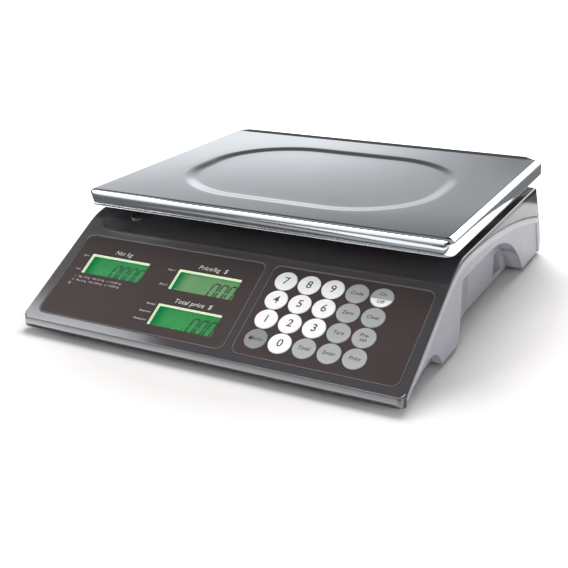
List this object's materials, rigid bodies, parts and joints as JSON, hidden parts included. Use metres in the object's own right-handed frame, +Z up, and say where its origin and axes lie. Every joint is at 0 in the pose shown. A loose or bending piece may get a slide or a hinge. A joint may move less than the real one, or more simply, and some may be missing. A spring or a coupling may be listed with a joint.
{
  "type": "retail price scale",
  "caption": "Counter price scale with a flat steel weighing tray on a wedge-shaped housing, sloped console with display windows and round keys, and hand grips in the sides",
  "frame": {"origin": "on the table under the middle of the housing", "axes": "+X to the operator's right, +Y from the operator towards the customer, +Z up"},
  "size_m": [0.3356, 0.368, 0.0976],
  "materials": {
    "cover_plastic": "gloss moulded",
    "base_plastic": "satin moulded",
    "film_dark": "satin printed film",
    "window_clear": "clear",
    "bezel_pale": "pale frame",
    "display_green": "backlit display",
    "light_white": "diffuser",
    "key_white": "printed key",
    "key_grey": "printed key",
    "key_dark": "printed key",
    "board_green": "circuit board",
    "stainless": "satin polished",
    "aluminium_bar": "machined",
    "aluminium_cast": "cast",
    "steel_zinc": "zinc plated",
    "rubber_black": "moulded",
    "socket_black": "moulded",
    "vial_liquid": "filled vial"
  },
  "bodies": {
    "housing": {"lower_housing": "base_plastic", "upper_housing": "cover_plastic", "display_panel": "film_dark", "display_windows": "window_clear", "lcd_bezels": "bezel_pale", "weight_lcd": "display_green", "unit_price_lcd": "display_green", "total_price_lcd": "display_green", "lcd_backlights": "light_white", "display_board": "board_green", "keypad_panel": "film_dark", "keypad_board": "board_green", "customer_display_panel": "film_dark", "customer_display_windows": "window_clear", "customer_lcds": "display_green", "customer_display_board": "board_green", "main_board": "board_green", "board_screws": "steel_zinc", "power_inlet": "socket_black", "load_cell": "aluminium_bar", "load_cell_mount": "aluminium_bar", "load_cell_screws": "steel_zinc", "overload_stop": "steel_zinc", "level_ring": "socket_black", "level_vial": "vial_liquid", "housing_screws": "steel_zinc"},
    "platform": {"platform_column": "aluminium_cast", "platform_spider": "aluminium_cast", "platform_screws": "steel_zinc", "tray_buffers": "rubber_black"},
    "pan": {"tray": "stainless"},
    "key_memory_button": {"key_memory": "key_dark"},
    "key_0_button": {"key_0": "key_white"},
    "key_total_button": {"key_total": "key_grey"},
    "key_enter_button": {"key_enter": "key_grey"},
    "key_receipt_button": {"key_receipt": "key_grey"},
    "key_1_button": {"key_1": "key_white"},
    "key_2_button": {"key_2": "key_white"},
    "key_3_button": {"key_3": "key_white"},
    "key_tare_button": {"key_tare": "key_grey"},
    "key_preset_button": {"key_preset": "key_grey"},
    "key_4_button": {"key_4": "key_white"},
    "key_5_button": {"key_5": "key_white"},
    "key_6_button": {"key_6": "key_white"},
    "key_zero_button": {"key_zero": "key_grey"},
    "key_clear_button": {"key_clear": "key_grey"},
    "key_7_button": {"key_7": "key_white"},
    "key_8_button": {"key_8": "key_white"},
    "key_9_button": {"key_9": "key_white"},
    "key_code_button": {"key_code": "key_grey"},
    "key_power_button": {"key_power": "key_grey"},
    "stud_front_left": {"foot_stud_front_left": "steel_zinc"},
    "pad_front_left": {"foot_front_left": "rubber_black"},
    "stud_front_right": {"foot_stud_front_right": "steel_zinc"},
    "pad_front_right": {"foot_front_right": "rubber_black"},
    "stud_rear_left": {"foot_stud_rear_left": "steel_zinc"},
    "pad_rear_left": {"foot_rear_left": "rubber_black"},
    "stud_rear_right": {"foot_stud_rear_right": "steel_zinc"},
    "pad_rear_right": {"foot_rear_right": "rubber_black"}
  },
  "joints": [
    {"name": "platform_travel", "type": "slide", "parent": "housing", "child": "platform", "axis": [0, 0, -1], "range_m": [0, 0.0005], "stiffness_N_per_m": 300000, "springref_m": -0.0001, "deforming": ["load_cell"]},
    {"name": "tray_lift", "type": "slide", "parent": "platform", "child": "pan", "axis": [0, 0, 1], "range_m": [0, 0.1]},
    {"name": "key_memory_press", "type": "slide", "parent": "housing", "child": "key_memory_button", "axis": [0, 0.4955, -0.8686], "range_m": [0, 0.0005], "stiffness_N_per_m": 1200, "springref_m": -0.0002},
    {"name": "key_0_press", "type": "slide", "parent": "housing", "child": "key_0_button", "axis": [0, 0.4955, -0.8686], "range_m": [0, 0.0005], "stiffness_N_per_m": 1200, "springref_m": -0.0002},
    {"name": "key_total_press", "type": "slide", "parent": "housing", "child": "key_total_button", "axis": [0, 0.4955, -0.8686], "range_m": [0, 0.0005], "stiffness_N_per_m": 1200, "springref_m": -0.0002},
    {"name": "key_enter_press", "type": "slide", "parent": "housing", "child": "key_enter_button", "axis": [0, 0.4955, -0.8686], "range_m": [0, 0.0005], "stiffness_N_per_m": 1200, "springref_m": -0.0002},
    {"name": "key_receipt_press", "type": "slide", "parent": "housing", "child": "key_receipt_button", "axis": [0, 0.4955, -0.8686], "range_m": [0, 0.0005], "stiffness_N_per_m": 1200, "springref_m": -0.0002},
    {"name": "key_1_press", "type": "slide", "parent": "housing", "child": "key_1_button", "axis": [0, 0.4955, -0.8686], "range_m": [0, 0.0005], "stiffness_N_per_m": 1200, "springref_m": -0.0002},
    {"name": "key_2_press", "type": "slide", "parent": "housing", "child": "key_2_button", "axis": [0, 0.4955, -0.8686], "range_m": [0, 0.0005], "stiffness_N_per_m": 1200, "springref_m": -0.0002},
    {"name": "key_3_press", "type": "slide", "parent": "housing", "child": "key_3_button", "axis": [0, 0.4955, -0.8686], "range_m": [0, 0.0005], "stiffness_N_per_m": 1200, "springref_m": -0.0002},
    {"name": "key_tare_press", "type": "slide", "parent": "housing", "child": "key_tare_button", "axis": [0, 0.4955, -0.8686], "range_m": [0, 0.0005], "stiffness_N_per_m": 1200, "springref_m": -0.0002},
    {"name": "key_preset_press", "type": "slide", "parent": "housing", "child": "key_preset_button", "axis": [0, 0.4955, -0.8686], "range_m": [0, 0.0005], "stiffness_N_per_m": 1200, "springref_m": -0.0002},
    {"name": "key_4_press", "type": "slide", "parent": "housing", "child": "key_4_button", "axis": [0, 0.4955, -0.8686], "range_m": [0, 0.0005], "stiffness_N_per_m": 1200, "springref_m": -0.0002},
    {"name": "key_5_press", "type": "slide", "parent": "housing", "child": "key_5_button", "axis": [0, 0.4955, -0.8686], "range_m": [0, 0.0005], "stiffness_N_per_m": 1200, "springref_m": -0.0002},
    {"name": "key_6_press", "type": "slide", "parent": "housing", "child": "key_6_button", "axis": [0, 0.4955, -0.8686], "range_m": [0, 0.0005], "stiffness_N_per_m": 1200, "springref_m": -0.0002},
    {"name": "key_zero_press", "type": "slide", "parent": "housing", "child": "key_zero_button", "axis": [0, 0.4955, -0.8686], "range_m": [0, 0.0005], "stiffness_N_per_m": 1200, "springref_m": -0.0002},
    {"name": "key_clear_press", "type": "slide", "parent": "housing", "child": "key_clear_button", "axis": [0, 0.4955, -0.8686], "range_m": [0, 0.0005], "stiffness_N_per_m": 1200, "springref_m": -0.0002},
    {"name": "key_7_press", "type": "slide", "parent": "housing", "child": "key_7_button", "axis": [0, 0.4955, -0.8686], "range_m": [0, 0.0005], "stiffness_N_per_m": 1200, "springref_m": -0.0002},
    {"name": "key_8_press", "type": "slide", "parent": "housing", "child": "key_8_button", "axis": [0, 0.4955, -0.8686], "range_m": [0, 0.0005], "stiffness_N_per_m": 1200, "springref_m": -0.0002},
    {"name": "key_9_press", "type": "slide", "parent": "housing", "child": "key_9_button", "axis": [0, 0.4955, -0.8686], "range_m": [0, 0.0005], "stiffness_N_per_m": 1200, "springref_m": -0.0002},
    {"name": "key_code_press", "type": "slide", "parent": "housing", "child": "key_code_button", "axis": [0, 0.4955, -0.8686], "range_m": [0, 0.0005], "stiffness_N_per_m": 1200, "springref_m": -0.0002},
    {"name": "key_power_press", "type": "slide", "parent": "housing", "child": "key_power_button", "axis": [0, 0.4955, -0.8686], "range_m": [0, 0.0005], "stiffness_N_per_m": 1200, "springref_m": -0.0002},
    {"name": "foot_front_left_travel", "type": "slide", "parent": "housing", "child": "stud_front_left", "axis": [0, 0, -1], "range_m": [0, 0.0025]},
    {"name": "foot_front_left_turn", "type": "hinge", "parent": "stud_front_left", "child": "pad_front_left", "pos_m": [-0.135, -0.14, 0], "axis": [0, 0, -1], "range_deg": [0, 720]},
    {"name": "foot_front_right_travel", "type": "slide", "parent": "housing", "child": "stud_front_right", "axis": [0, 0, -1], "range_m": [0, 0.0025]},
    {"name": "foot_front_right_turn", "type": "hinge", "parent": "stud_front_right", "child": "pad_front_right", "pos_m": [0.135, -0.14, 0], "axis": [0, 0, -1], "range_deg": [0, 720]},
    {"name": "foot_rear_left_travel", "type": "slide", "parent": "housing", "child": "stud_rear_left", "axis": [0, 0, -1], "range_m": [0, 0.0025]},
    {"name": "foot_rear_left_turn", "type": "hinge", "parent": "stud_rear_left", "child": "pad_rear_left", "pos_m": [-0.135, 0.14, 0], "axis": [0, 0, -1], "range_deg": [0, 720]},
    {"name": "foot_rear_right_travel", "type": "slide", "parent": "housing", "child": "stud_rear_right", "axis": [0, 0, -1], "range_m": [0, 0.0025]},
    {"name": "foot_rear_right_turn", "type": "hinge", "parent": "stud_rear_right", "child": "pad_rear_right", "pos_m": [0.135, 0.14, 0], "axis": [0, 0, -1], "range_deg": [0, 720]}
  ],
  "couplings": [
    {"joint": "foot_front_left_travel", "follows": "foot_front_left_turn", "m_per_rad": 0.00019894},
    {"joint": "foot_front_right_travel", "follows": "foot_front_right_turn", "m_per_rad": 0.00019894},
    {"joint": "foot_rear_left_travel", "follows": "foot_rear_left_turn", "m_per_rad": 0.00019894},
    {"joint": "foot_rear_right_travel", "follows": "foot_rear_right_turn", "m_per_rad": 0.00019894}
  ]
}
